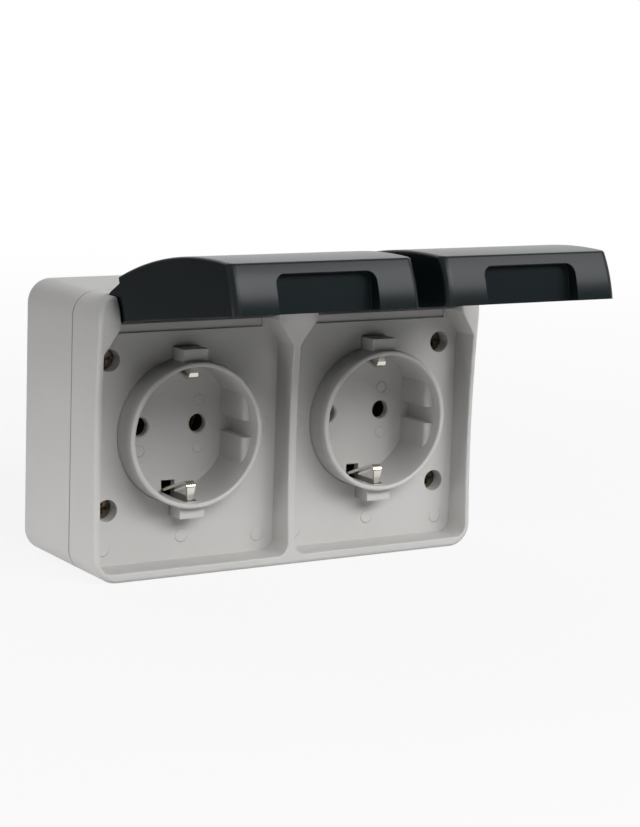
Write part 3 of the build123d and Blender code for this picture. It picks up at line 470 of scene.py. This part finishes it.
# Studio: a pale paper floor, white surroundings and soft lamps, the strongest high in front.
# The floor turns to the white of the surroundings with distance, so no horizon shows. Two grey
# cards beside the object keep the dark lids from mirroring white all over.
floor_paper = bpy.data.materials.new("white_studio_paper")
floor_paper.use_nodes = True
paper_nodes = floor_paper.node_tree.nodes
paper_nodes.remove(paper_nodes["Principled BSDF"])
place = add_node(floor_paper, "ShaderNodeTexCoord", {}, {}).outputs["Object"]
paper = add_node(floor_paper, "ShaderNodeBsdfDiffuse", {}, {"Color": linear("#cfcfcf")})
glow = add_node(floor_paper, "ShaderNodeEmission", {}, {"Color": linear("#ffffff"), "Strength": 1.0})
rays = add_node(floor_paper, "ShaderNodeLightPath", {}, {})
away = add_node(floor_paper, "ShaderNodeVectorMath", {"operation": "LENGTH"}, {0: place})
# Near the object a small share of the lit paper stays in the picture, and with it the shadow.
share = add_node(
    floor_paper, "ShaderNodeMapRange", {"interpolation_type": "SMOOTHSTEP"},
    {"Value": away.outputs["Value"], "From Min": 0.05, "From Max": 0.9, "To Min": 0.88, "To Max": 1.0},
)
seen = add_node(
    floor_paper, "ShaderNodeMath", {"operation": "MAXIMUM"},
    {0: rays.outputs["Is Camera Ray"], 1: rays.outputs["Is Glossy Ray"]},
)
seen = add_node(
    floor_paper, "ShaderNodeMath", {"operation": "MAXIMUM"},
    {0: seen.outputs["Value"], 1: rays.outputs["Is Transmission Ray"]},
)
shown_share = add_node(
    floor_paper, "ShaderNodeMath", {"operation": "MULTIPLY"},
    {0: seen.outputs["Value"], 1: share.outputs["Result"]},
)
shown = add_node(
    floor_paper, "ShaderNodeMixShader", {},
    {0: shown_share.outputs["Value"], 1: paper.outputs["BSDF"], 2: glow.outputs["Emission"]},
)
join(floor_paper.node_tree, paper_nodes["Material Output"], {"Surface": shown.outputs["Shader"]})


def studio_sheet(name, matrix, material):
    """A flat sheet that isn't part of the object, sized and placed by its matrix."""
    mesh = bpy.data.meshes.new(name)
    sheet = bmesh.new()
    bmesh.ops.create_grid(sheet, x_segments=1, y_segments=1, size=1.0, matrix=matrix)
    sheet.to_mesh(mesh)
    sheet.free()
    mesh.materials.append(material)
    holder = bpy.data.objects.new(name, mesh)
    bpy.context.scene.collection.objects.link(holder)
    return holder


FLOOR_LEVEL = cad_box[0].z - 0.2 * MM
FLOOR_REACH = 60.0  # m to each side
floor_place = Matrix.Translation((0, 0, FLOOR_LEVEL)) @ Matrix.Scale(FLOOR_REACH, 4)
studio_sheet("studio_floor", floor_place, floor_paper)

world = bpy.data.worlds.new("studio_surroundings")
bpy.context.scene.world = world
world.use_nodes = True
rays = add_node(world, "ShaderNodeLightPath", {}, {})
seen = add_node(
    world, "ShaderNodeMath", {"operation": "MAXIMUM"},
    {0: rays.outputs["Is Camera Ray"], 1: rays.outputs["Is Glossy Ray"]},
)
seen = add_node(
    world, "ShaderNodeMath", {"operation": "MAXIMUM"},
    {0: seen.outputs["Value"], 1: rays.outputs["Is Transmission Ray"]},
)
join(
    world.node_tree, world.node_tree.nodes["Background"],
    {"Color": linear("#ffffff"), "Strength": seen.outputs["Value"]},
)


def soft_lamp(name, place, aim, size, power, spread=180.0):
    """A rectangular softbox at a place, turned towards the point it aims at. A spread of less than
    180 degrees narrows its light, as a honeycomb grid does."""
    lamp = bpy.data.lights.new(name, "AREA")
    lamp.shape = "RECTANGLE"
    lamp.size, lamp.size_y = size
    lamp.energy = power
    lamp.spread = math.radians(spread)
    holder = bpy.data.objects.new(name, lamp)
    turn = (Vector(aim) - Vector(place)).to_track_quat("-Z", "Y")
    holder.matrix_world = Matrix.Translation(place) @ turn.to_matrix().to_4x4()
    bpy.context.scene.collection.objects.link(holder)
    return holder


MIDDLE = (0.0, -0.05, 0.0)  # of the front, in m
soft_lamp("front_softbox", (0.0, -0.82, 0.53), MIDDLE, size=(0.8, 0.3), power=5.8)
soft_lamp("right_front_softbox", (0.52, -0.74, 0.52), MIDDLE, size=(0.5, 0.4), power=4.2)
# This one is aimed at the foot of the left side, which is lighter towards the floor.
LEFT_FOOT = (-0.064, -0.03, -0.06)
soft_lamp("left_softbox", (-0.45, -0.03, 0.0), LEFT_FOOT, size=(0.3, 0.07), power=0.115, spread=50.0)
soft_lamp("rear_top_softbox", (0.0, 0.55, 0.65), MIDDLE, size=(0.8, 0.4), power=1.0)
# The fill lamps stand low and would glare on the lids, so reflections don't show them.
BACK = (0.0, 0.0, 0.0)  # the middle of the back, which is the origin
right_fill = soft_lamp("right_softbox", (0.95, 0.20, 0.25), BACK, size=(0.5, 0.4), power=2.4)
right_fill.visible_glossy = False
rear_fill = soft_lamp("rear_softbox", (0.0, 0.95, 0.25), BACK, size=(0.8, 0.4), power=2.4)
rear_fill.visible_glossy = False

card_felt = bpy.data.materials.new("grey_felt")
card_felt.use_nodes = True
join(
    card_felt.node_tree, card_felt.node_tree.nodes["Principled BSDF"],
    {"Base Color": linear("#8a8a8a"), "Roughness": 0.9},
)

for name, x, y, width, height in (
    ("left_rear_card", -0.25, 0.25, 0.40, 0.24),
    ("right_front_card", 0.55, -0.75, 0.80, 0.34),
):
    middle = Matrix.Translation((x, y, FLOOR_LEVEL + height / 2))
    upright = Matrix.Rotation(math.radians(90), 4, "X")
    size = Matrix.Diagonal((width / 2, height / 2, 1, 1))
    card = studio_sheet(name, middle @ upright @ size, card_felt)
    # Only reflections show the cards: they take no light from the object and cast no shadow.
    card.visible_camera = False
    card.visible_diffuse = False
    card.visible_shadow = False


# Camera: it stands where the photograph was taken, to the left and slightly above the top edge.
# The lens and place were fitted to the socket's known sizes in the photograph.
CAMERA_PLACE = (-0.35207, -0.62334, 0.12473)
PAN, TILT, ROLL = -32.028, -10.079, 1.994  # degrees
camera = bpy.data.objects.new("photo_camera", bpy.data.cameras.new("photo_camera"))
camera.data.sensor_width = 36.0
camera.data.lens = 102.83
camera.data.clip_start = 0.05
camera.data.clip_end = 200.0
camera.matrix_world = (
    Matrix.Translation(CAMERA_PLACE)
    @ Matrix.Rotation(math.radians(PAN), 4, "Z")
    @ Matrix.Rotation(math.radians(90 + TILT), 4, "X")
    @ Matrix.Rotation(math.radians(ROLL), 4, "Z")
)
bpy.context.scene.collection.objects.link(camera)
bpy.context.scene.camera = camera
bpy.context.scene.view_settings.view_transform = "Standard"
